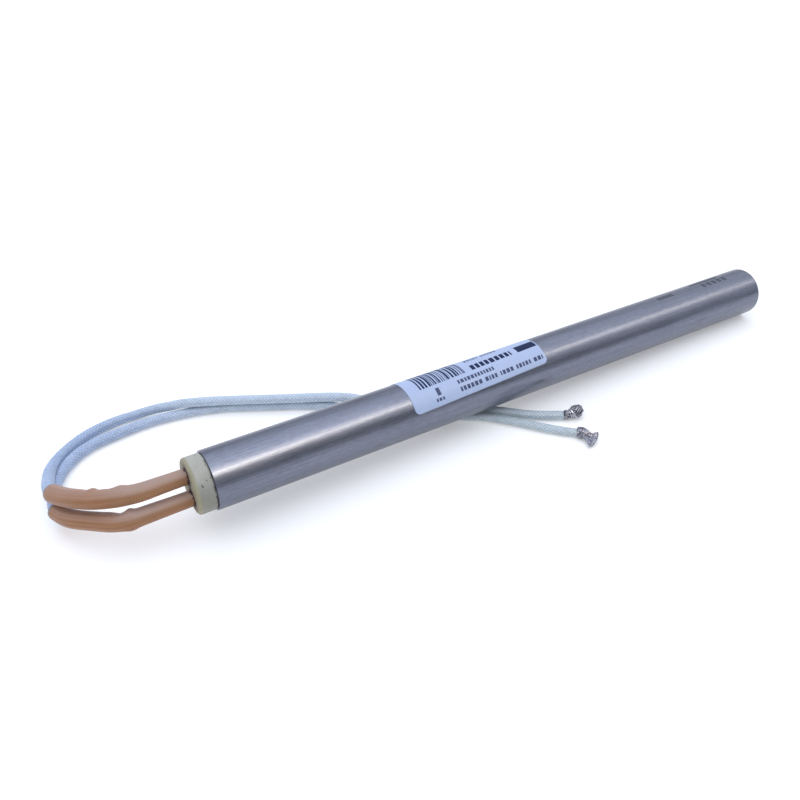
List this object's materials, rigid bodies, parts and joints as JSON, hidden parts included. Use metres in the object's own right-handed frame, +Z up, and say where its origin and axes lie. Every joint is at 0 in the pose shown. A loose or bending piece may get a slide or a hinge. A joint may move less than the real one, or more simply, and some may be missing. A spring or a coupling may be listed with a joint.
{
  "type": "cartridge heater",
  "caption": "Round stainless cartridge heater with a ceramic head, sleeved glass-braid leads and a blank sticker; it slides into a reamed hole to heat a mould, die or press tool.",
  "frame": {"origin": "on the surface the heater lies on, below the middle of the heater's own box (sheath, head and pins, without the leads, sleeves and crimps)", "axes": "+Z up from that surface; +X along the heater as it lies, from the ceramic head to the closed end. At rest the closed end touches the surface and the axis dips 1.7 degrees towards it, over the leads that lie under the sheath."},
  "size_m": [0.2965, 0.1027, 0.0274],
  "materials": {
    "sheath_steel": "ground satin stainless with fine lengthwise streaks",
    "disc_steel": "turned stainless disc, welded and dressed",
    "magnesia": "compacted magnesium oxide, matt white",
    "resistance_wire": "oxidised nickel-chrome wire",
    "cement": "matt sealing cement",
    "steatite": "unglazed cream steatite",
    "nickel": "drawn nickel",
    "silicone_sleeve": "silicone-coated glass sleeving, satin",
    "glass_braid": "woven white glass-fibre braid",
    "strands": "fine bare nickel strands",
    "sticker": "coated white paper, plain dark print shapes"
  },
  "bodies": {
    "root": {"sheath": "sheath_steel", "end_disc": "disc_steel", "base_insulator": "magnesia", "winding_core": "magnesia", "heating_coil": "resistance_wire", "magnesia_fill": "magnesia", "top_insulator": "magnesia", "head_seal": "cement", "ceramic_head": "steatite", "terminal_pin_1": "nickel", "terminal_pin_2": "nickel", "crimp_1": "nickel", "crimp_2": "nickel", "sleeve_1": "silicone_sleeve", "sleeve_2": "silicone_sleeve", "lead_1": "glass_braid", "lead_2": "glass_braid", "conductor_1": "strands", "conductor_2": "strands", "label": "sticker"}
  },
  "joints": []
}
